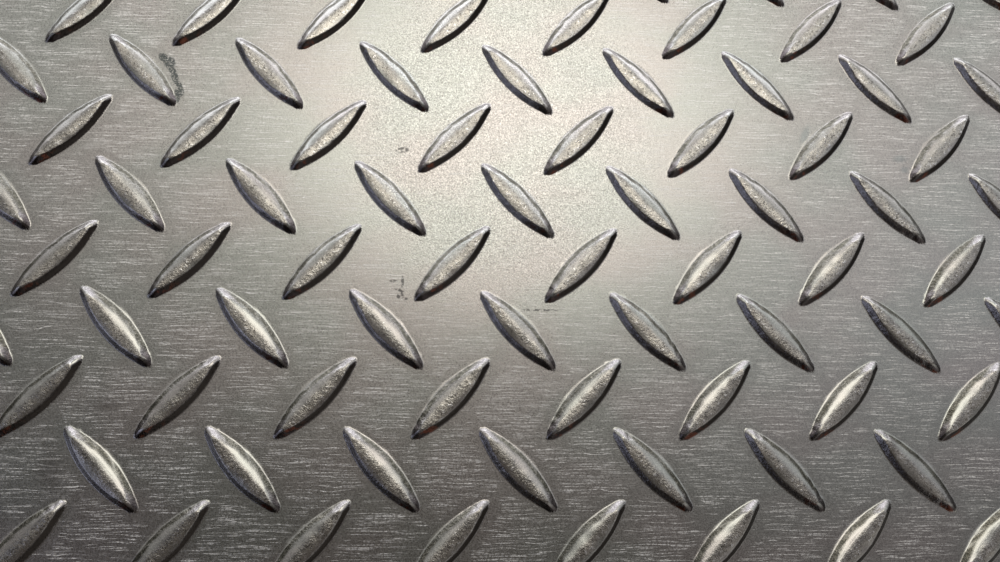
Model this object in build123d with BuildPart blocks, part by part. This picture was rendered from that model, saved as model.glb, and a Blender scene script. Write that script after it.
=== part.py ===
import math
import os

from build123d import *

os.makedirs("parts", exist_ok=True)

# Blank: X along the rolling direction, Z up, origin at the centre of the underside
plate_length = 400.0
plate_width = 250.0
base_thickness = 5.0

# Lug pattern: two crossed families of lugs, the second half a pitch off the first both ways
pitch_x = 35.0
pitch_y = 36.3
pattern_shift_x = 4.0
pattern_shift_y = 2.0
lug_angle = 46.5

# One lug: a lens between two equal arcs with blunt tips, sloped flanks and a ramp at each end
lug_length = 28.4
lug_width = 7.8
lug_height = 1.5
lug_tip_width = 1.6
flank_run = 1.4
ramp_length = 3.2
flats_per_flank = 6

# Depth to which a lug's root is sunk in the base, so that the two fuse
root_depth = 0.5

# Sheet that is left outside the blank before it is sheared to size
shear_margin = 30.0

# The arc of each flank at the base; the two arcs would meet past the blunt tips
overall_height = base_thickness + lug_height
root_level = base_thickness - root_depth
half_length = lug_length / 2
arc_rise = (lug_width - lug_tip_width) / 2
arc_radius = (half_length**2 + arc_rise**2) / (2 * arc_rise)
arc_centre = arc_radius - lug_width / 2
half_turn = math.acos(arc_centre / arc_radius)
turns = [half_turn * (2 * flat / flats_per_flank - 1) for flat in range(flats_per_flank)]
side = [(arc_radius * math.sin(turn), arc_radius * math.cos(turn) - arc_centre) for turn in turns]

# One lug, lying along X: a lens with chamfered flanks, cut by the two ramps
with BuildPart() as lug:
    with BuildSketch(Plane.XY.offset(root_level)):
        with BuildLine():
            Polyline(*side, *[(-x, -y) for x, y in side], close=True)
        make_face()
    extrude(amount=root_depth + lug_height)
    crest = lug.faces().sort_by(Axis.Z)[-1]
    chamfer(crest.edges(), length=flank_run, length2=lug_height, reference=crest)
    with BuildSketch(Plane.XZ):
        with BuildLine():
            Polyline(
                (-half_length, root_level),
                (half_length, root_level),
                (half_length, base_thickness),
                (half_length - ramp_length, overall_height),
                (ramp_length - half_length, overall_height),
                (-half_length, base_thickness),
                close=True,
            )
        make_face()
    extrude(amount=lug_width, both=True, mode=Mode.INTERSECT)

# Places of all lugs that lie on the blank or cross its edges
slant = math.radians(lug_angle)
reach_x = half_length * math.cos(slant) + lug_tip_width / 2 * math.sin(slant)
reach_y = half_length * math.sin(slant) + lug_tip_width / 2 * math.cos(slant)
pitches_x = (plate_length / 2 + abs(pattern_shift_x) + reach_x) / pitch_x
pitches_y = (plate_width / 2 + abs(pattern_shift_y) + reach_y) / pitch_y
rising_grid = GridLocations(
    pitch_x,
    pitch_y,
    2 * math.floor(pitches_x) + 1,
    2 * math.floor(pitches_y) + 1,
)
falling_grid = GridLocations(
    pitch_x,
    pitch_y,
    2 * math.floor(pitches_x + 0.5),
    2 * math.floor(pitches_y + 0.5),
)
rising_places = [place * Location((0, 0, 0), (0, 0, lug_angle)) for place in rising_grid]
falling_places = [place * Location((0, 0, 0), (0, 0, -lug_angle)) for place in falling_grid]

# The plate: a sheet rolled in one piece with its lugs, then sheared to the blank
with BuildPart() as checker_plate:
    with BuildSketch():
        Rectangle(plate_length + 2 * shear_margin, plate_width + 2 * shear_margin)
    extrude(amount=base_thickness)
    with Locations((pattern_shift_x, pattern_shift_y)):
        with Locations(*rising_places, *falling_places):
            add(lug.part)
    with BuildSketch():
        Rectangle(plate_length, plate_width)
    extrude(amount=overall_height, mode=Mode.INTERSECT)

checker_plate.part.label = "checker_plate"
export_step(checker_plate.part, "parts/checker_plate.step")
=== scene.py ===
import math

import bmesh
import bpy
import numpy as np
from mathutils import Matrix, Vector
from mathutils.geometry import delaunay_2d_cdt


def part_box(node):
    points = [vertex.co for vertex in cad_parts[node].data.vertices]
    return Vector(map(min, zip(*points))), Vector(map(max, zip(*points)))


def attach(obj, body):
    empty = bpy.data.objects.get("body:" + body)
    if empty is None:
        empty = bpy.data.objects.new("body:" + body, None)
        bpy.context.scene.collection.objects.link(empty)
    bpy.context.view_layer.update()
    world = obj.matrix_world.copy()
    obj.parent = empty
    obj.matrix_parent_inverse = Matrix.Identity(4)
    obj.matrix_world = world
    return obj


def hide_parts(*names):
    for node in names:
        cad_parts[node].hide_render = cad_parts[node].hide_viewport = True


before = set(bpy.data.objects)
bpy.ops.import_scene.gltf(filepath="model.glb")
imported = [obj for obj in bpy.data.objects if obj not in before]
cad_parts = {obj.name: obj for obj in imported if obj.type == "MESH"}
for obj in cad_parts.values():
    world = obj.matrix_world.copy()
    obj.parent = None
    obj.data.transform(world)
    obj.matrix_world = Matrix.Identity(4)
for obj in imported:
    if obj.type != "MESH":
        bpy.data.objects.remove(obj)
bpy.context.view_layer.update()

MM = 0.001

# The blank, from the frame
low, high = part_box("checker_plate")
HALF_LENGTH = (high[0] - low[0]) / 2
HALF_WIDTH = (high[1] - low[1]) / 2
TOP = high[2]

# Lug pattern and one lug, as in the part
PITCH_X = 35.0 * MM
PITCH_Y = 36.3 * MM
SHIFT_X = 4.0 * MM
SHIFT_Y = 2.0 * MM
LUG_ANGLE = math.radians(46.5)
LUG_HALF_LENGTH = 14.2 * MM
LUG_HALF_WIDTH = 3.9 * MM
LUG_TIP_HALF_WIDTH = 0.8 * MM
LUG_HEIGHT = 1.5 * MM
FLANK_RUN = 1.4 * MM
RAMP_LENGTH = 3.2 * MM
BASE = TOP - LUG_HEIGHT

# Rows and columns of lugs that are tried each way from the centre, more than the blank holds
PATTERN_REACH = 12

# Lens outline of a lug between two arcs
ARC_RISE = LUG_HALF_WIDTH - LUG_TIP_HALF_WIDTH
ARC_RADIUS = (LUG_HALF_LENGTH**2 + ARC_RISE**2) / (2 * ARC_RISE)
ARC_CENTRE = ARC_RADIUS - LUG_HALF_WIDTH

# Softer forms of the rolled surface; those named UPPER come on top on the sides that face +Y
UPPER_FADE = 1.0 * MM
CREST_CROWN = 0.5 * MM
UPPER_CROWN = 0.6 * MM
UPPER_CROWN_POWER = 1.3
CREST_DROP = 0.03 * MM
LUG_DROP = 0.04 * MM
EDGE_ROUNDING = 0.28 * MM
UPPER_EDGE_ROUNDING = 0.6 * MM
FOOT_ROUNDING = 0.12 * MM
UPPER_FOOT_ROUNDING = 0.2 * MM
TIP_BULGE = 0.45 * MM
RAMP_POWER = 0.8
UPPER_FLANK_POWER = 0.08
UPPER_FLANK_RUN = 0.15 * MM

# Unevenness: its depth, and the wavelength and seed of its waves. The sinks keep it in the solid.
FLANK_RAGGEDNESS = 0.05 * MM
UPPER_RAGGEDNESS = 0.035 * MM
FLANK_WAVES = (2.4 * MM, 3)
CREST_UNEVENNESS = 0.035 * MM
CREST_WAVES = (5.0 * MM, 11)
CREST_SINK = 1.0
SHEET_WAVINESS = 0.02 * MM
SHEET_WAVES = (55.0 * MM, 21)
SHEET_SINK = 1.5
WAVE_COUNT = 9

# Factors of the seeded number that each lug has of its own
COLUMN_HASH, ROW_HASH, TURN_HASH, HASH_SCALE = 12.9898, 78.233, 37.7, 43758.5453

# Mesh of a lug: stations along it, as shares of its half length, and rows across it
PATCH_MARGIN = 0.6 * MM
PATCH_WIDENING = 0.05 * MM
STATIONS = (0.0, 0.16, 0.32, 0.45, 0.56, 0.65, 0.71, 0.75, 0.785, 0.82, 0.87, 0.92, 0.96, 0.99, 1.03, 1.09)
ROW_FLOORS = (1.0, 0.8, 0.6, 0.42, 0.26)
FOOT_ROW_DEPTH = -0.2 * MM
FLANK_ROW_SHARE = 0.28
EDGE_ROW_LEAD = 0.32 * MM
EDGE_ROW_SHARE = 0.55
CREST_ROW_LAG = 0.12 * MM
INNER_ROW_SHARE = 0.5
END_BULGE = 0.012

# Mesh of the flat between the lugs, and of the sheet before it is sheared
FLAT_SPACING = 3.6 * MM
FLAT_JITTER = 0.9 * MM
FLAT_CLEARANCE = 1.2 * MM
FLAT_SEED = 5
SHEET_MARGIN = 7.0 * MM
WELD_DISTANCE = 1e-7
NORMAL_STEP = 0.04 * MM

# Sheared edge, from the top down: outward share of the rim, and drop below the top surface
RIM_WIDTH = 0.55 * MM
RIM_TOLERANCE = 0.001 * MM
ROLLOVER = ((0.45, 0.05 * MM), (0.78, 0.17 * MM), (0.95, 0.36 * MM), (1.0, 0.6 * MM))
BURNISH_END = 3.2 * MM
FRACTURE_LEVELS = (3.0 * MM, 2.1 * MM, 1.2 * MM, 0.35 * MM, 0.0)
FRACTURE_SHARES = (0.86, 0.72, 0.68, 0.6, 0.42)
FRACTURE_RAGGEDNESS = 0.09 * MM
FRACTURE_LIMIT = 0.98
BOTTOM_RAGGEDNESS = 0.2
EDGE_SEED = 8

# Marks on the mesh that the materials read
SHELTER_REACH = 6.5 * MM
SHELTER_FADE = 7.5 * MM
SHELTER_STEPS = 27
MARKED_LENGTH = 1.1

# Areas of this plate in millimetres and degrees: ellipses of centre, half length, half width, turn
# The area under the highlight: fewer lines there, and a stronger grain that is painted sparkle
HIGHLIGHT_AREA_CENTRE = (-18, 42)
HIGHLIGHT_AREA_REACH = (58, 66)
# Wear: dark stains, small scuffs, grey smudges and dark blotches
DARK_STAINS = (
    ((-113.1, 60.4), 2.0, 1.4, -45),
    ((-111.3, 58.9), 2.2, 1.9, -70),
    ((-110.3, 56.5), 1.8, 1.1, -50),
    ((-109.5, 54.6), 1.9, 1.2, -70),
    ((-108.4, 52.5), 2.2, 0.9, -45),
    ((-107.9, 50.0), 1.6, 1.8, 0),
    ((-108.5, 47.9), 1.2, 1.4, 0),
)
SMALL_SCUFFS = (
    ((-45.6, 34.3), 2.2, 1.0, 0),
    ((-44.5, -3.3), 1.9, 0.5, 90),
    ((-44.4, -6.5), 0.9, 0.9, 0),
    ((-45.5, -5.5), 1.3, 0.45, -20),
    ((-45.4, -7.3), 0.6, 0.7, 0),
    ((-43.7, -7.9), 1.1, 0.4, -10),
    ((-46.9, -3.1), 1.3, 0.4, 0),
    ((-7.5, -10.6), 5.5, 0.32, 0),
    ((-105.5, 68.5), 0.5, 0.4, 0),
)
GREY_SMUDGES = (((69.5, 41.5), 4.4, 1.6, 65), ((96.8, 34.8), 3.0, 1.6, 5), ((97.9, 31.5), 1.6, 1.4, 0))
DARK_BLOTCHES = (((-120.3, -36.5), 7.5, 2.6, 10), ((-130.8, -52.7), 5.0, 8.5, 15))
SPOT_DEPTH = 1000

# Heights in millimetres where the look changes, above the base or, for the torn band, the underside
LUG_BAND = (0.1, 0.3)
CREST_BAND = (1.15, 1.36)
TORN_BAND = (3.35, 2.95)

# Spacing of the rolled lines in millimetres, depths of the fine relief, and brushing along X
LINE_SPACING = 0.85
FACE_RELIEF = 0.065 * MM
DRAG_RELIEF = 0.03 * MM
CRUMBLE_RELIEF = 0.2 * MM
STREAK_RELIEF = 0.02 * MM
UNDERSIDE_GRAIN_RELIEF = 0.03 * MM
FACE_BRUSHING = 0.45
UNDERSIDE_BRUSHING = 0.3

# Colours of the rolled face
FLAT_TINTS = ((0.445, 0.423, 0.403, 1), (0.42, 0.43, 0.402, 1))
DASH_COLOR = (1.0, 0.99, 0.96, 1)
STAIN_COLOR = (0.07, 0.085, 0.085, 1)
SCUFF_COLOR = (0.08, 0.08, 0.08, 1)
SMUDGE_COLOR = (0.20, 0.26, 0.27, 1)
BLOTCH_COLOR = (0.20, 0.18, 0.17, 1)
CREST_TONES = ((0.35, 0.342, 0.325, 1), (0.60, 0.57, 0.51, 1))
CREST_PIT_COLOR = (0.10, 0.09, 0.08, 1)
CREST_GLINT_COLOR = (0.95, 0.94, 0.92, 1)
UPPER_FLANK_TONES = ((0.09, 0.087, 0.07, 1), (0.19, 0.182, 0.15, 1))
LOWER_FLANK_TONES = ((0.30, 0.285, 0.28, 1), (0.46, 0.445, 0.43, 1))
# Dark scale with painted shade, for the flanks that face the front right
SCALE_AND_SHADE_COLOR = (0.05, 0.043, 0.038, 1)
LOWER_TIP_COLOR = (0.08, 0.065, 0.065, 1)
BLUNT_END_COLOR = (0.09, 0.075, 0.075, 1)
RUST_COLOR = (0.20, 0.075, 0.05, 1)

# Colours of the sheared edge and the underside
BURNISHED_TONES = ((0.42, 0.42, 0.42, 1), (0.62, 0.61, 0.60, 1))
TORN_TONES = ((0.16, 0.155, 0.15, 1), (0.42, 0.41, 0.40, 1))
UNDERSIDE_TONES = ((0.26, 0.26, 0.27, 1), (0.40, 0.39, 0.38, 1))
UNDERSIDE_CLOUD_COLOR = (0.30, 0.28, 0.26, 1)

# Floor, and the world that the metal reflects: dark towards -Y, pale towards +Y
FLOOR_HALF_SIZE = 12.0
FLOOR_COLOR = (0.72, 0.72, 0.71, 1)
FLOOR_GLOW = 0.4
ROOM_COLORS = ((0.07, 0.06, 0.052, 1), (0.74, 0.71, 0.67, 1))
LEFT_TINT = (0.58, 0.59, 0.62, 1)
RIGHT_TINT = (0.85, 0.9, 0.96, 1)
LOW_RIGHT_GAIN = (2.1, 2.1, 2.3, 1)
SHADE_COLOR = (0.015, 0.012, 0.012, 1)
GLOW_COLOR = (3.1, 3.1, 3.3, 1)
HORIZON_COLORS = ((0.05, 0.05, 0.045, 1), (0.8, 0.8, 0.8, 1))
BACKDROP_COLOR = (0.85, 0.85, 0.85, 1)

# Soft windows of the world: direction, cosines of the outer edge and of the full middle, colour
WINDOWS = (
    ((0.68, -0.68, 0.27), 0.70, 0.92, (0.45, 0.44, 0.43, 1)),
    ((-0.80, -0.56, 0.20), 0.955, 0.985, (0.05, 0.055, 0.075, 1)),
    ((-0.82, -0.23, 0.53), 0.953, 0.985, (0.66, 0.7, 0.92, 1)),
)

# Softbox high over the floor towards +Y, in metres and watts
SOFTBOX_PLACE = (0.05, 0.53, 1.14)
SOFTBOX_TARGET = (0, 0.04, 0)
SOFTBOX_SIZE = (0.7, 0.58)
SOFTBOX_POWER = 2.27
SOFTBOX_COLOR = (1.0, 0.95, 0.86)

# Camera at the photograph's place over the pattern: turns in degrees, lens and sensor in millimetres
CAMERA_PLACE = (-29.5 * MM, -51.1 * MM, 220.8 * MM)
CAMERA_TURN = (12.61, -3.01, 0.10)
CAMERA_LENS = 29.49
CAMERA_SENSOR = 36
CAMERA_CLIP = 10 * MM


def waves(x, y, wavelength, seed):
    """Smooth seeded noise of about -1 to 1, as a sum of plane waves."""
    rng = np.random.default_rng(seed)
    total = np.zeros_like(x)
    for _ in range(WAVE_COUNT):
        turn = rng.uniform(0, 2 * math.pi)
        wave = 2 * math.pi / (wavelength * rng.uniform(0.75, 1.6))
        total += np.sin(wave * (x * math.cos(turn) + y * math.sin(turn)) + rng.uniform(0, 2 * math.pi))
    return total / math.sqrt(WAVE_COUNT)


def softer_min(a, b, width):
    """The lower of two surfaces, with their meeting edge rounded over that width."""
    return np.minimum(a, b) - np.maximum(width - np.abs(a - b), 0) ** 2 / (4 * width)


def arc_depth(u, v):
    """How far a point lies inside the lens outline, measured square to its arc."""
    return ARC_RADIUS - np.hypot(u, np.abs(v) + ARC_CENTRE)


def half_width_at(u, depth):
    """Half the width of the lens at u, on the line that lies that deep inside the outline."""
    reach = np.maximum((ARC_RADIUS - depth) ** 2 - u**2, ARC_CENTRE**2)
    return np.sqrt(reach) - ARC_CENTRE


def lug_families():
    """Shift and turn of the two crossed families of lugs."""
    rising = (SHIFT_X, SHIFT_Y, LUG_ANGLE)
    falling = (SHIFT_X + PITCH_X / 2, SHIFT_Y + PITCH_Y / 2, -LUG_ANGLE)
    return rising, falling


def nearest_lug(x, y, family):
    """Coordinates along and across the nearest lug of a family, and a number of its own per lug."""
    shift_x, shift_y, turn = family
    column = np.round((x - shift_x) / PITCH_X)
    row = np.round((y - shift_y) / PITCH_Y)
    dx = x - shift_x - column * PITCH_X
    dy = y - shift_y - row * PITCH_Y
    along = dx * math.cos(turn) + dy * math.sin(turn)
    across = dy * math.cos(turn) - dx * math.sin(turn)
    mixed = np.sin(column * COLUMN_HASH + row * ROW_HASH + turn * TURN_HASH)
    return along, across, np.mod(mixed * HASH_SCALE, 1.0)


def lug_surface(x, y, family):
    """Height of a family's lugs above the base."""
    along, across, number = nearest_lug(x, y, family)
    upper = np.clip(across / UPPER_FADE, 0, 1)
    ragged = (FLANK_RAGGEDNESS + UPPER_RAGGEDNESS * upper) * waves(x, y, *FLANK_WAVES)

    # Two flanks and two ramps, which rise from the outline
    climb = (arc_depth(along, across) + ragged) / (FLANK_RUN + UPPER_FLANK_RUN * upper)
    flank = LUG_HEIGHT * np.sign(climb) * np.abs(climb) ** (1 + UPPER_FLANK_POWER * upper)
    tip = LUG_HALF_LENGTH - TIP_BULGE * (across / LUG_TIP_HALF_WIDTH) ** 2
    rise = (tip - np.abs(along) + ragged) / RAMP_LENGTH
    ramp = LUG_HEIGHT * np.sign(rise) * np.abs(rise) ** RAMP_POWER

    # The crest, which falls off to both sides
    crown = CREST_CROWN * (across / LUG_HALF_WIDTH) ** 2
    crown = crown + UPPER_CROWN * np.maximum(across / LUG_HALF_WIDTH, 0) ** UPPER_CROWN_POWER
    crest = LUG_HEIGHT - CREST_DROP - crown - LUG_DROP * number
    crest = crest + CREST_UNEVENNESS * (waves(x, y, *CREST_WAVES) - CREST_SINK)

    rounding = EDGE_ROUNDING + UPPER_EDGE_ROUNDING * upper
    height = softer_min(softer_min(flank, ramp, EDGE_ROUNDING), crest, rounding)
    fillet = FOOT_ROUNDING + UPPER_FOOT_ROUNDING * upper
    foot = np.maximum(fillet - np.abs(height), 0) ** 2 / (4 * fillet)
    return np.maximum(height, 0) + foot


def surface(x, y):
    """Height of the rolled face over the plane that the plate lies on."""
    lugs = sum(lug_surface(x, y, family) for family in lug_families())
    return BASE + SHEET_WAVINESS * (waves(x, y, *SHEET_WAVES) - SHEET_SINK) + lugs


def surface_normals(x, y):
    """Normals of the rolled face, from the slope of its height."""
    step = NORMAL_STEP
    slope_x = (surface(x + step, y) - surface(x - step, y)) / (2 * step)
    slope_y = (surface(x, y + step) - surface(x, y - step)) / (2 * step)
    normals = np.stack([-slope_x, -slope_y, np.ones_like(x)], axis=1)
    return normals / np.linalg.norm(normals, axis=1, keepdims=True)


def lug_patch():
    """Grid of points over one lug in its own plane, its quads and the loop of points round it."""
    shares = np.array(sorted({-share for share in STATIONS} | set(STATIONS)))
    along = shares * LUG_HALF_LENGTH
    crest_depth = FLANK_RUN * np.clip((LUG_HALF_LENGTH - np.abs(along)) / RAMP_LENGTH, 0, 1)
    depths = (
        np.full_like(along, -PATCH_MARGIN),
        np.full_like(along, FOOT_ROW_DEPTH),
        FLANK_ROW_SHARE * crest_depth,
        np.maximum(crest_depth - EDGE_ROW_LEAD, EDGE_ROW_SHARE * crest_depth),
        crest_depth + CREST_ROW_LAG,
    )
    outer = half_width_at(along, -PATCH_MARGIN) + PATCH_WIDENING

    # Each row lies at its depth, but no nearer to the middle than its share of the patch
    rows = []
    for depth, floor in zip(depths, ROW_FLOORS):
        rows.append(np.maximum(half_width_at(along, depth), floor * outer))
    rows.append(INNER_ROW_SHARE * rows[-1])
    across = np.stack(rows + [np.zeros_like(along)] + [-row for row in reversed(rows)], axis=1)

    # The two ends bulge a little, so that they are no straight lines
    station_count, row_count = across.shape
    lengthwise = np.repeat(along[:, None], row_count, axis=1)
    lengthwise[[0, -1]] *= 1 + END_BULGE * (1 - (across[[0, -1]] / outer[0]) ** 2)

    points = np.stack([lengthwise, across], axis=2).reshape(-1, 2)
    index = np.arange(station_count * row_count).reshape(station_count, row_count)
    corners = [index[:-1, :-1], index[:-1, 1:], index[1:, 1:], index[1:, :-1]]
    quads = np.stack(corners, axis=2).reshape(-1, 4)
    loop = np.concatenate([index[0, :], index[1:-1, -1], index[-1, ::-1], index[-2:0:-1, 0]])
    return points, quads, loop


def lug_places():
    """Centres and turns of all lugs that lie on the blank or cross its edges."""
    reach = LUG_HALF_LENGTH + PATCH_MARGIN
    steps = range(-PATTERN_REACH, PATTERN_REACH + 1)
    places = []
    for shift_x, shift_y, turn in lug_families():
        for column in steps:
            for row in steps:
                x = shift_x + column * PITCH_X
                y = shift_y + row * PITCH_Y
                on_length = abs(x) < HALF_LENGTH + reach * math.cos(turn)
                on_width = abs(y) < HALF_WIDTH + reach * math.sin(abs(turn))
                if on_length and on_width:
                    places.append((x, y, turn))
    return places


def inside_patch(x, y, margin=0.0):
    """Whether a point lies on the meshed patch of a lug, or within a margin of it."""
    inside = np.zeros(x.shape, bool)
    for family in lug_families():
        along, across, _ = nearest_lug(x, y, family)
        on_length = np.abs(along) < STATIONS[-1] * LUG_HALF_LENGTH + margin
        inside |= on_length & (arc_depth(along, across) > -PATCH_MARGIN - margin)
    return inside


def flat_points():
    """Loosely spaced points on the flat between the lugs, and the corners of the sheet."""
    rng = np.random.default_rng(FLAT_SEED)
    half_x = HALF_LENGTH + SHEET_MARGIN
    half_y = HALF_WIDTH + SHEET_MARGIN
    xs = np.arange(-half_x + FLAT_SPACING, half_x - FLAT_SPACING / 2, FLAT_SPACING)
    ys = np.arange(-half_y + FLAT_SPACING, half_y - FLAT_SPACING / 2, FLAT_SPACING)
    grid = np.array([(x, y) for x in xs for y in ys])
    grid += rng.uniform(-FLAT_JITTER, FLAT_JITTER, grid.shape)
    grid = grid[~inside_patch(grid[:, 0], grid[:, 1], FLAT_CLEARANCE)]
    corners = np.array([(-half_x, -half_y), (half_x, -half_y), (half_x, half_y), (-half_x, half_y)])
    return grid, corners


def rolled_sheet():
    """Flat layout of the rolled face: points and polygons of lug patches and of the flat between."""
    patch, quads, loop = lug_patch()
    points = []
    faces = []
    outline_points = []
    outline_owner = []
    loops = []
    for x, y, turn in lug_places():
        start = len(points) * len(patch)
        rotation = np.array([[math.cos(turn), math.sin(turn)], [-math.sin(turn), math.cos(turn)]])
        placed = patch @ rotation + (x, y)
        points.append(placed)
        faces.extend((quads + start).tolist())
        loops.append(np.arange(len(loop)) + len(outline_points))
        outline_points.extend(placed[loop].tolist())
        outline_owner.extend((loop + start).tolist())
    points = np.concatenate(points)
    grid, corners = flat_points()
    layout = outline_points + corners.tolist() + grid.tolist()
    owner = outline_owner + list(range(len(points), len(points) + len(corners) + len(grid)))
    points = np.concatenate([points, corners, grid])

    # Triangles between the patches: those that lie inside a patch's loop are left out
    rings = [ring.tolist() for ring in loops]
    result = delaunay_2d_cdt([Vector(point) for point in layout], [], rings, 0, WELD_DISTANCE)
    made_points, _, made_faces, point_origins, _, face_origins = result
    if len(made_points) != len(layout):
        raise RuntimeError("the outlines of the lugs cross or touch")
    place = {new: old[0] for new, old in enumerate(point_origins)}
    triangles = np.array([[place[corner] for corner in face] for face in made_faces])
    owned = np.array(owner)[triangles]
    covered = np.array([len(origins) > 0 for origins in face_origins])
    faces.extend(owned[~covered].tolist())
    return points, faces


def shear_sheet(points, faces):
    """Cuts the flat layout to the blank, less its rim, and gives its points, polygons and outer loop."""
    half_x = HALF_LENGTH - RIM_WIDTH
    half_y = HALF_WIDTH - RIM_WIDTH
    sheet = bmesh.new()
    made = [sheet.verts.new((x, y, 0)) for x, y in points]
    for face in faces:
        sheet.faces.new([made[i] for i in face])
    for axis, half in ((0, half_x), (1, half_y)):
        for sign in (-1, 1):
            normal = [0, 0, 0]
            normal[axis] = sign
            place = [0, 0, 0]
            place[axis] = sign * half
            bmesh.ops.bisect_plane(
                sheet,
                geom=sheet.verts[:] + sheet.edges[:] + sheet.faces[:],
                dist=WELD_DISTANCE,
                plane_co=place,
                plane_no=normal,
                clear_outer=True,
            )
    sheet.verts.index_update()
    points = np.array([vert.co[:2] for vert in sheet.verts])
    faces = [[vert.index for vert in face.verts] for face in sheet.faces]
    border = {vert.index for edge in sheet.edges if edge.is_boundary for vert in edge.verts}
    sheet.free()
    border = np.array(sorted(border))
    x, y = points[border].T
    turn = np.arctan2(y / half_y, x / half_x)
    return points, faces, border[np.argsort(turn)]


def rim_rings(points, loop):
    """Rings of the sheared edge below the outer loop: points, heights and normals, top down."""
    rng = np.random.default_rng(EDGE_SEED)
    x, y = points[loop].T
    out_x = np.where(np.abs(x) > HALF_LENGTH - RIM_WIDTH - RIM_TOLERANCE, np.sign(x), 0.0)
    out_y = np.where(np.abs(y) > HALF_WIDTH - RIM_WIDTH - RIM_TOLERANCE, np.sign(y), 0.0)
    outward = np.stack([out_x, out_y], axis=1)
    top = surface(x, y)
    rings = []

    # Rollover: the top bends down to the side
    for share, drop in ROLLOVER:
        tilt = math.asin(share)
        upright = np.full_like(x, math.cos(tilt))
        normal = np.stack([out_x * math.sin(tilt), out_y * math.sin(tilt), upright], axis=1)
        rings.append((points[loop] + outward * RIM_WIDTH * share, top - drop, normal))

    # Burnished band, and under it the torn one, which leans inwards
    side = np.stack([out_x, out_y, np.zeros_like(x)], axis=1)
    rings.append((points[loop] + outward * RIM_WIDTH, np.full_like(x, BURNISH_END), side))
    for share, level in zip(FRACTURE_SHARES, FRACTURE_LEVELS):
        ragged = rng.uniform(-1, 1, len(x)) * FRACTURE_RAGGEDNESS / RIM_WIDTH
        strength = BOTTOM_RAGGEDNESS if level == 0 else 1
        depth = np.minimum(share + ragged * strength, FRACTURE_LIMIT)[:, None]
        rings.append((points[loop] + outward * RIM_WIDTH * depth, np.full_like(x, level), side))
    return rings


def shelter_at(x, y):
    """1 beside a lug along the rolling direction, where the surface keeps clear of scratches, to 0."""
    shelter = np.zeros_like(x)
    for step in np.linspace(-SHELTER_REACH, SHELTER_REACH, SHELTER_STEPS):
        strength = 1 - abs(step) / SHELTER_FADE
        shelter = np.where(inside_patch(x + step, y), np.maximum(shelter, strength), shelter)
    return shelter


def lug_marks(x, y):
    """Per point: place across its lug, -1 to 1 with the upper side positive, and place up its lug."""
    across_mark = np.zeros_like(x)
    upward_mark = np.zeros_like(x)
    for family in lug_families():
        along, across, _ = nearest_lug(x, y, family)
        on_length = np.abs(along) < MARKED_LENGTH * LUG_HALF_LENGTH
        on_lug = on_length & (arc_depth(along, across) > -PATCH_MARGIN)
        across_mark = np.where(on_lug, across / LUG_HALF_WIDTH, across_mark)
        upward = np.sign(family[2]) * along / LUG_HALF_LENGTH
        upward_mark = np.where(on_lug, upward, upward_mark)
    return across_mark, upward_mark


def add_mark(mesh, name, values):
    """Stores one number per point for the materials to read."""
    attribute = mesh.attributes.new(name, "FLOAT", "POINT")
    attribute.data.foreach_set("value", np.asarray(values, np.float32))


def make_plate(face_material, edge_material, underside_material):
    """The whole plate as one closed mesh: rolled face, sheared edge and underside."""
    face_slot, edge_slot, underside_slot = range(3)
    points, faces, loop = shear_sheet(*rolled_sheet())
    x, y = points.T
    vertices = [np.column_stack([points, surface(x, y)])]
    normals = [surface_normals(x, y)]
    slots = [face_slot] * len(faces)

    # Each ring of the edge hangs from the one above it, and the underside closes the last
    above = loop
    count = len(points)
    for plane, level, normal in rim_rings(points, loop):
        ring = np.arange(len(loop)) + count
        vertices.append(np.column_stack([plane, level]))
        normals.append(normal)
        quads = np.column_stack([above, ring, np.roll(ring, -1), np.roll(above, -1)])
        faces.extend(quads.tolist())
        slots.extend([edge_slot] * len(ring))
        above = ring
        count += len(ring)
    faces.append(above[::-1].tolist())
    slots.append(underside_slot)

    vertices = np.concatenate(vertices)
    normals = np.concatenate(normals)
    mesh = bpy.data.meshes.new("rolled_plate")
    mesh.from_pydata(vertices.tolist(), [], faces)
    for material in (face_material, edge_material, underside_material):
        mesh.materials.append(material)
    mesh.polygons.foreach_set("material_index", slots)
    mesh.polygons.foreach_set("use_smooth", [True] * len(faces))

    # Smooth shading from the height field itself, flat on the underside
    corner_points = np.empty(len(mesh.loops), np.int32)
    mesh.loops.foreach_get("vertex_index", corner_points)
    corner_normals = normals[corner_points]
    corner_normals[-len(above):] = (0, 0, -1)
    mesh.normals_split_custom_set(corner_normals.tolist())

    across, upward = lug_marks(vertices[:, 0], vertices[:, 1])
    add_mark(mesh, "shelter", shelter_at(vertices[:, 0], vertices[:, 1]))
    add_mark(mesh, "across", across)
    add_mark(mesh, "upward", upward)
    plate = bpy.data.objects.new("rolled_plate", mesh)
    bpy.context.collection.objects.link(plate)
    return plate


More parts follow.
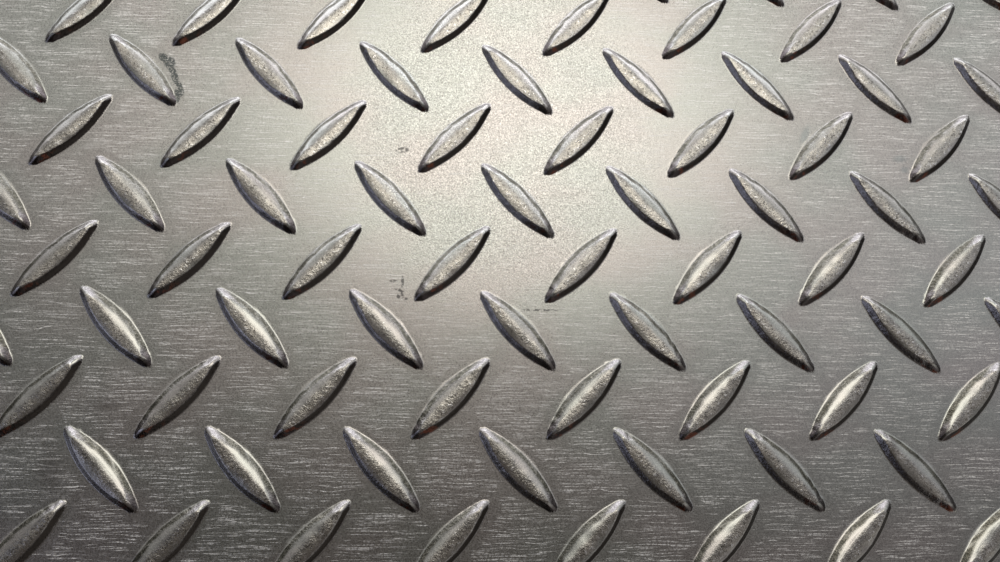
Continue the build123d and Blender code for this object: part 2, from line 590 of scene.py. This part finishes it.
class Graph:
    """Short hand for the nodes of one shader."""

    def __init__(self, tree):
        self.tree = tree
        tree.nodes.clear()

    def add(self, kind, inputs=None, **settings):
        """A new node with its settings, its inputs linked or set."""
        node = self.tree.nodes.new(kind)
        for name, value in settings.items():
            setattr(node, name, value)
        for name, value in (inputs or {}).items():
            self.feed(node.inputs[name], value)
        return node

    def feed(self, socket, value):
        """Links an output to a socket, or sets its value."""
        if isinstance(value, bpy.types.NodeSocket):
            self.tree.links.new(value, socket)
        else:
            socket.default_value = value

    def math(self, operation, a, b=0.0):
        return self.add("ShaderNodeMath", {0: a, 1: b}, operation=operation).outputs[0]

    def plus(self, a, b):
        return self.math("ADD", a, b)

    def minus(self, a, b):
        return self.math("SUBTRACT", a, b)

    def times(self, a, b):
        return self.math("MULTIPLY", a, b)

    def highest(self, a, b):
        return self.math("MAXIMUM", a, b)

    def range(self, value, low, high, to_low=0.0, to_high=1.0, smooth=True):
        """Maps low to to_low and high to to_high, clamped; low may be the larger one."""
        inputs = {"Value": value, "From Min": low, "From Max": high, "To Min": to_low, "To Max": to_high}
        kind = "SMOOTHSTEP" if smooth else "LINEAR"
        return self.add("ShaderNodeMapRange", inputs, interpolation_type=kind).outputs["Result"]

    def mix(self, factor, a, b, blend="MIX"):
        """Mixes two colours, which are the sockets 6 and 7 of the node."""
        node = self.add("ShaderNodeMix", data_type="RGBA", blend_type=blend)
        self.feed(node.inputs[0], factor)
        self.feed(node.inputs[6], a)
        self.feed(node.inputs[7], b)
        return node.outputs[2]

    def vector(self, operation, a, b):
        return self.add("ShaderNodeVectorMath", {0: a, 1: b}, operation=operation)

    def stretch(self, vector, x, y, z=1.0):
        return self.vector("MULTIPLY", vector, (x, y, z)).outputs[0]

    def shift(self, vector, offset):
        return self.vector("ADD", vector, offset).outputs[0]

    def split(self, vector):
        """The three coordinates of a vector, by their names."""
        return self.add("ShaderNodeSeparateXYZ", {0: vector}).outputs

    def noise(self, vector, size, detail=2.0, roughness=0.5):
        """Noise around 0.5 with features of about that size."""
        inputs = {"Vector": vector, "Scale": 1.0 / size, "Detail": detail, "Roughness": roughness}
        return self.add("ShaderNodeTexNoise", inputs).outputs["Fac"]

    def streaks(self, vector, length, width, detail, roughness=0.5):
        """Noise drawn out along X."""
        return self.noise(self.stretch(vector, 1 / length, 1 / width), 1.0, detail, roughness)

    def spot(self, place, centre, half_length, half_width, turn=0.0, soft=0.5):
        """1 inside an ellipse on the plate, falling to 0 at its border; the sizes are in millimetres."""
        inputs = {
            "Vector": place,
            "Location": (centre[0], centre[1], 0),
            "Rotation": (0, 0, math.radians(turn)),
            "Scale": (half_length, half_width, SPOT_DEPTH),
        }
        moved = self.add("ShaderNodeMapping", inputs, vector_type="TEXTURE").outputs[0]
        reach = self.add("ShaderNodeVectorMath", {0: moved}, operation="LENGTH").outputs["Value"]
        return self.range(reach, 1.0, 1.0 - soft)

    def spots(self, place, ellipses, soft):
        """The highest of several spots."""
        total = self.spot(place, *ellipses[0], soft=soft)
        for ellipse in ellipses[1:]:
            total = self.highest(total, self.spot(place, *ellipse, soft=soft))
        return total

    def mark(self, name):
        """A mark of the mesh."""
        return self.add("ShaderNodeAttribute", attribute_name=name).outputs["Fac"]

    def bump(self, height, depth, normal=None):
        node = self.add("ShaderNodeBump", {"Height": height, "Distance": depth, "Strength": 1.0})
        if normal is not None:
            self.feed(node.inputs["Normal"], normal)
        return node.outputs["Normal"]


def new_material(name):
    """A material with an empty graph."""
    material = bpy.data.materials.new(name)
    material.use_nodes = True
    return material, Graph(material.node_tree)


def in_millimetres(graph):
    """Place on the plate in millimetres."""
    place = graph.add("ShaderNodeTexCoord").outputs["Object"]
    return graph.stretch(place, 1 / MM, 1 / MM, 1 / MM)


def finish_metal(graph, color, roughness, normal, anisotropy=0.0):
    """Closes a graph with a bare metal surface, brushed along X."""
    inputs = {
        "Base Color": color,
        "Metallic": 1.0,
        "Roughness": roughness,
        "Normal": normal,
        "Anisotropic": anisotropy,
        "Tangent": graph.add("ShaderNodeCombineXYZ", {"X": 1.0}).outputs[0],
    }
    shader = graph.add("ShaderNodeBsdfPrincipled", inputs)
    graph.add("ShaderNodeOutputMaterial", {"Surface": shader.outputs[0]})


def grained_flats(graph, place, grain, smooth):
    """Colour of the bare flats: broad tints and a fine grain, which is stronger, as painted sparkle, on
    the area under the highlight.
    """
    broad = graph.noise(graph.stretch(place, 1, 1.6), 34.0)
    tint = graph.mix(graph.range(broad, 0.35, 0.65), *FLAT_TINTS)
    tone = graph.range(grain, 0.40, 0.7, 0.84, 1.85, smooth=False)
    # Painted sparkle: the grain is stronger in colour on the area under the highlight
    contrast = graph.range(smooth, 0.0, 1.0, 0.4, 1.35)
    tone = graph.plus(graph.times(graph.minus(tone, 1.0), contrast), 1.0)
    grey = graph.add("ShaderNodeCombineColor", {0: tone, 1: tone, 2: tone}).outputs[0]
    return graph.mix(1.0, tint, grey, "MULTIPLY")


def dashes(graph, place, smooth, on_lug):
    """Fine scratches and thin wavy lines along the rolling direction."""
    sway = graph.times(graph.minus(graph.noise(place, 12.0), 0.5), 1.3)
    lag = graph.times(graph.streaks(place, 90.0, 0.7, 1.0), 30.0)
    offset = graph.add("ShaderNodeCombineXYZ", {"X": lag, "Y": sway, "Z": 0.37}).outputs[0]
    swayed = graph.shift(place, offset)

    # Where they are rare: between patches, on the area under the highlight, beside a lug and on it
    patches = graph.range(graph.noise(graph.stretch(place, 1, 1.8), 13.0), 0.3, 0.55)
    sheltered = graph.range(graph.mark("shelter"), 0.5, 1.0)
    rare = graph.times(graph.minus(1.0, patches), 0.008)
    rare = graph.plus(rare, graph.times(smooth, 0.05))
    rare = graph.plus(rare, graph.times(sheltered, 0.08))
    rare = graph.plus(rare, graph.times(on_lug, 0.06))

    scratch = graph.minus(graph.streaks(swayed, 9.0, 0.14, 1.0, 0.4), rare)
    scratch = graph.times(graph.range(scratch, 0.622, 0.642), 0.8)

    # Lines in rippled rows, each broken into stretches
    ripple = graph.times(graph.streaks(place, 9.0, 2.5, 2.0), 2.0)
    row = graph.math("DIVIDE", graph.plus(graph.split(swayed)["Y"], ripple), LINE_SPACING)
    from_line = graph.math("ABSOLUTE", graph.minus(graph.math("FRACT", row), 0.5))
    line = graph.range(from_line, 0.14, 0.02)
    stretches = graph.minus(graph.streaks(place, 10.0, 0.6, 1.0), graph.times(rare, 3.0))
    line = graph.times(line, graph.range(stretches, 0.45, 0.6, 0.0, 0.95))

    dots = graph.range(graph.noise(graph.shift(place, (3, 7, 2)), 0.6, 1.0), 0.42, 0.54, 0.3, 1.0)
    return graph.times(graph.highest(scratch, line), dots)


def stained(graph, place, flats):
    """Colour of the flats with the stains, scuffs, smudges and blotches of this plate."""
    broken = graph.range(graph.noise(place, 0.55, 3.0, 0.7), 0.40, 0.47)
    stain = graph.times(graph.spots(place, DARK_STAINS, 0.35), broken)
    flats = graph.mix(graph.times(stain, 0.85), flats, STAIN_COLOR)
    flecks = graph.range(graph.noise(place, 0.8, 2.0, 0.6), 0.44, 0.52)
    scuff = graph.times(graph.spots(place, SMALL_SCUFFS, 0.3), flecks)
    flats = graph.mix(graph.times(scuff, 0.85), flats, SCUFF_COLOR)
    smudge = graph.spots(place, GREY_SMUDGES, 0.8)
    flats = graph.mix(graph.times(smudge, 0.35), flats, SMUDGE_COLOR)
    blotch = graph.spots(place, DARK_BLOTCHES, 0.9)
    return graph.mix(graph.times(blotch, 0.4), flats, BLOTCH_COLOR)


def speckled_crests(graph, place, speckle, across):
    """Colour of the crests: bright glints and dark pits, brighter on the lower half."""
    lower_side = graph.range(across, 0.3, -0.5)
    glints_from = graph.minus(0.65, graph.times(lower_side, 0.08))
    glints = graph.range(speckle, glints_from, graph.plus(glints_from, 0.04))
    pits = graph.range(graph.noise(graph.shift(place, (31, 17, 5)), 0.7, 2.0, 0.7), 0.45, 0.38)
    tone = graph.plus(graph.noise(place, 4.0), graph.times(lower_side, 0.5))
    color = graph.mix(graph.range(tone, 0.3, 1.1), *CREST_TONES)
    color = graph.mix(graph.times(pits, 0.65), color, CREST_PIT_COLOR)
    return graph.mix(glints, color, CREST_GLINT_COLOR)


def scaly_flanks(graph, place, speckle, across, upward, facing):
    """Colour of the flanks: dark scale, painted shade on those that face the front right, a rusty tint
    here and there at the lower ends.
    """
    upper_side = graph.range(across, 0.2, 0.55)
    upper = graph.mix(graph.range(speckle, 0.45, 0.65), *UPPER_FLANK_TONES)
    lower = graph.mix(graph.range(speckle, 0.5, 0.66), *LOWER_FLANK_TONES)
    color = graph.mix(upper_side, lower, upper)

    # Painted shade over dark scale on the flanks that face the front right; the lower tips darker too
    shaded_front_right = graph.range(graph.minus(facing["X"], facing["Y"]), 0.35, 0.8)
    color = graph.mix(shaded_front_right, color, SCALE_AND_SHADE_COLOR)
    lower_tip = graph.range(upward, -0.6, -0.85)
    color = graph.mix(graph.times(lower_tip, 0.8), color, LOWER_TIP_COLOR)

    rust = graph.range(graph.noise(place, 2.2, 3.0, 0.6), 0.5, 0.62)
    rust = graph.times(rust, graph.range(upward, -0.35, -0.8))
    rust = graph.times(rust, graph.range(across, 0.0, -0.3))
    return graph.mix(rust, color, RUST_COLOR)


def rolled_steel():
    """Rolled face: warm grey grained flats with fine dashes and painted sparkle, mottled crests, dark
    scaly flanks with painted shade.
    """
    material, graph = new_material("rolled_steel")
    place = in_millimetres(graph)
    across = graph.mark("across")
    upward = graph.mark("upward")

    # Areas of a lug, by height above the base in millimetres and by slope
    above_base = graph.minus(graph.split(place)["Z"], BASE / MM)
    facing = graph.split(graph.add("ShaderNodeNewGeometry").outputs["Normal"])
    crest = graph.range(above_base, *CREST_BAND)
    on_lug = graph.range(above_base, *LUG_BAND)
    lower_rim = graph.times(graph.range(facing["Z"], 0.985, 0.93), graph.range(across, 0.0, -0.4))
    flank = graph.highest(graph.range(facing["Z"], 0.95, 0.84), lower_rim)
    blunt_end = graph.times(graph.range(upward, -0.82, -0.92), on_lug)

    grain = graph.noise(place, 0.3, 2.0, 0.6)
    # Area under the highlight, where the grain is painted sparkle and the lines are rare
    smooth = graph.spot(place, HIGHLIGHT_AREA_CENTRE, *HIGHLIGHT_AREA_REACH, soft=0.6)
    speckle = graph.noise(place, 0.75, 3.0, 0.7)
    dash = dashes(graph, place, smooth, on_lug)

    color = graph.mix(dash, grained_flats(graph, place, grain, smooth), DASH_COLOR)
    color = stained(graph, place, color)
    color = graph.mix(crest, color, speckled_crests(graph, place, speckle, across))
    color = graph.mix(graph.times(blunt_end, 0.75), color, BLUNT_END_COLOR)
    color = graph.mix(flank, color, scaly_flanks(graph, place, speckle, across, upward, facing))

    roughness = graph.range(grain, 0.3, 0.7, 0.25, 0.36, smooth=False)
    roughness = graph.plus(roughness, graph.times(crest, -0.02))
    roughness = graph.plus(roughness, graph.times(dash, 0.42))
    roughness = graph.minus(roughness, graph.times(flank, 0.1))

    rolled_grain = graph.times(grain, graph.range(smooth, 0.0, 1.0, 0.3, 1.1))
    scaliness = graph.plus(graph.times(crest, 1.8), graph.times(flank, 2.4))
    relief = graph.plus(rolled_grain, graph.times(speckle, scaliness))
    finish_metal(graph, color, roughness, graph.bump(relief, FACE_RELIEF), FACE_BRUSHING)
    return material


def sheared_steel():
    """Sheared edge: a smooth burnished band over a dull torn one."""
    material, graph = new_material("sheared_steel")
    place = in_millimetres(graph)
    wander = graph.times(graph.minus(graph.noise(place, 7.0, 3.0), 0.5), 1.2)
    torn = graph.range(graph.plus(graph.split(place)["Z"], wander), *TORN_BAND)
    drag = graph.noise(graph.stretch(place, 1 / 0.25, 1 / 0.25, 1 / 3.0), 1.0, 2.0, 0.6)
    crumble = graph.noise(place, 0.35, 4.0, 0.7)
    color = graph.mix(torn, graph.mix(drag, *BURNISHED_TONES), graph.mix(crumble, *TORN_TONES))
    roughness = graph.range(torn, 0.0, 1.0, 0.28, 0.6)
    normal = graph.bump(drag, DRAG_RELIEF)
    normal = graph.bump(graph.times(crumble, torn), CRUMBLE_RELIEF, normal)
    finish_metal(graph, color, roughness, normal)
    return material


def mill_underside():
    """Smooth underside: dull grey mill finish with faint streaks along the rolling direction."""
    material, graph = new_material("mill_underside")
    place = in_millimetres(graph)
    streaks = graph.streaks(place, 40.0, 1.1, 4.0, 0.65)
    cloud = graph.noise(place, 26.0, 4.0, 0.6)
    grain = graph.noise(place, 0.5, 3.0, 0.7)
    color = graph.mix(streaks, *UNDERSIDE_TONES)
    color = graph.mix(graph.range(cloud, 0.4, 0.7, 0.0, 0.5), color, UNDERSIDE_CLOUD_COLOR)
    roughness = graph.range(grain, 0.3, 0.7, 0.42, 0.6, smooth=False)
    normal = graph.bump(streaks, STREAK_RELIEF)
    normal = graph.bump(grain, UNDERSIDE_GRAIN_RELIEF, normal)
    finish_metal(graph, color, roughness, normal, UNDERSIDE_BRUSHING)
    return material


def make_floor():
    """Plain pale floor, which the camera and the metal see a little brighter than it is lit."""
    half = FLOOR_HALF_SIZE
    corners = [(-half, -half, 0), (half, -half, 0), (half, half, 0), (-half, half, 0)]
    mesh = bpy.data.meshes.new("floor")
    mesh.from_pydata(corners, [], [(0, 1, 2, 3)])
    material, graph = new_material("floor")
    rays = graph.add("ShaderNodeLightPath").outputs
    seen = graph.highest(rays["Is Camera Ray"], rays["Is Glossy Ray"])
    inputs = {
        "Base Color": FLOOR_COLOR,
        "Roughness": 0.9,
        "Emission Color": (1.0, 1.0, 1.0, 1),
        "Emission Strength": graph.times(seen, FLOOR_GLOW),
    }
    shader = graph.add("ShaderNodeBsdfPrincipled", inputs)
    graph.add("ShaderNodeOutputMaterial", {"Surface": shader.outputs[0]})
    mesh.materials.append(material)
    floor = bpy.data.objects.new("floor", mesh)
    bpy.context.collection.objects.link(floor)


def make_world():
    """Soft room that the metal reflects, with a bright band low towards +Y and three windows."""
    world = bpy.data.worlds.new("studio")
    world.use_nodes = True
    bpy.context.scene.world = world
    graph = Graph(world.node_tree)
    direction = graph.add("ShaderNodeTexCoord").outputs["Generated"]
    x, y, z = graph.split(direction)

    # The room, from dark to pale, tinted to both sides, brighter at the right, in shade low down
    color = graph.mix(graph.range(y, -0.12, 0.5), *ROOM_COLORS)
    color = graph.mix(graph.range(x, -0.05, -0.6), color, LEFT_TINT, "MULTIPLY")
    color = graph.mix(graph.range(x, 0.05, 0.6), color, RIGHT_TINT, "MULTIPLY")
    low_right = graph.times(graph.range(x, 0.05, 0.5), graph.range(y, 0.45, 0.0))
    color = graph.mix(low_right, color, LOW_RIGHT_GAIN, "MULTIPLY")
    shade = graph.times(graph.range(z, 0.75, 0.35), graph.range(y, 0.45, 0.05))
    color = graph.mix(shade, color, SHADE_COLOR)

    # The bright band, the windows and the horizon
    glow = graph.times(graph.range(y, 0.5, 0.85), graph.range(z, 0.62, 0.35))
    color = graph.mix(glow, color, GLOW_COLOR)
    for window, edge, middle, pane_color in WINDOWS:
        toward = graph.vector("DOT_PRODUCT", direction, window).outputs["Value"]
        color = graph.mix(graph.range(toward, edge, middle), color, pane_color)
    horizon = graph.mix(graph.range(y, 0.5, 0.75), *HORIZON_COLORS)
    color = graph.mix(graph.range(z, 0.17, 0.02), color, horizon)

    # The camera sees a plain backdrop
    seen = graph.add("ShaderNodeLightPath").outputs["Is Camera Ray"]
    color = graph.mix(seen, color, BACKDROP_COLOR)
    background = graph.add("ShaderNodeBackground", {"Color": color, "Strength": 1.0})
    graph.add("ShaderNodeOutputWorld", {"Surface": background.outputs[0]})


def make_light():
    """One large soft light, high towards +Y, which the flats mirror in the photo's upper middle."""
    lamp = bpy.data.lights.new("softbox", "AREA")
    lamp.shape = "ELLIPSE"
    lamp.size, lamp.size_y = SOFTBOX_SIZE
    lamp.energy = SOFTBOX_POWER
    lamp.color = SOFTBOX_COLOR
    box = bpy.data.objects.new("softbox", lamp)
    box.location = SOFTBOX_PLACE
    aim = Vector(SOFTBOX_TARGET) - Vector(SOFTBOX_PLACE)
    box.rotation_euler = aim.to_track_quat("-Z", "Y").to_euler()
    bpy.context.collection.objects.link(box)


def make_camera():
    """The photograph's camera, which looks down on the plate."""
    camera = bpy.data.cameras.new("camera")
    camera.lens = CAMERA_LENS
    camera.sensor_width = CAMERA_SENSOR
    camera.clip_start = CAMERA_CLIP
    placed = bpy.data.objects.new("camera", camera)
    placed.location = CAMERA_PLACE
    placed.rotation_euler = [math.radians(turn) for turn in CAMERA_TURN]
    bpy.context.collection.objects.link(placed)
    bpy.context.scene.camera = placed


plate = make_plate(rolled_steel(), sheared_steel(), mill_underside())
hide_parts("checker_plate")
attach(plate, "root")

make_floor()
make_world()
make_light()
make_camera()
bpy.context.scene.view_settings.view_transform = "Standard"
